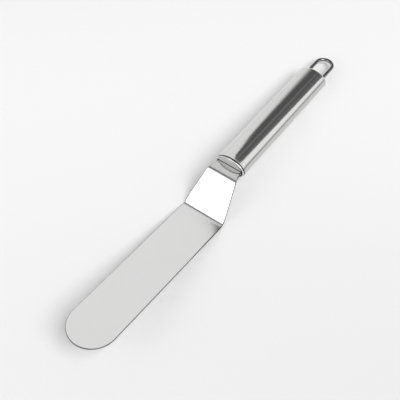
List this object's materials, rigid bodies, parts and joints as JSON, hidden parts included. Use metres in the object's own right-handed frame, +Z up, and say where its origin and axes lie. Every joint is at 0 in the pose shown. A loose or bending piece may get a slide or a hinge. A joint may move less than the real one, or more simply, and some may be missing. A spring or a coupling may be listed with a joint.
{
  "type": "offset spatula",
  "caption": "Steel offset spatula with a cranked round-tipped blade, an oval tubular handle and a fixed wire loop to hang it by.",
  "frame": {"origin": "on the table, under the middle of the spatula's length, with the spatula lying at rest on its heel and the butt of its handle", "axes": "+X along the length from the blade's tip to the hanging loop, +Y across the blade, +Z up from the table"},
  "size_m": [0.2824, 0.031, 0.0263],
  "materials": {
    "blade_steel": "satin blade, fine lengthwise polish; brighter on the neck",
    "tube_steel": "brushed along the handle",
    "cap_steel": "fine satin face, bright turned edge",
    "wire_steel": "polished steel wire",
    "weld_steel": "raw weld metal, hidden inside the handle"
  },
  "bodies": {
    "root": {"blade": "blade_steel", "handle_tube": "tube_steel", "front_cap": "cap_steel", "rear_cap": "tube_steel", "hanging_loop": "wire_steel", "tang_weld_upper": "weld_steel", "tang_weld_lower": "weld_steel", "loop_weld_left": "weld_steel", "loop_weld_right": "weld_steel"}
  },
  "joints": []
}
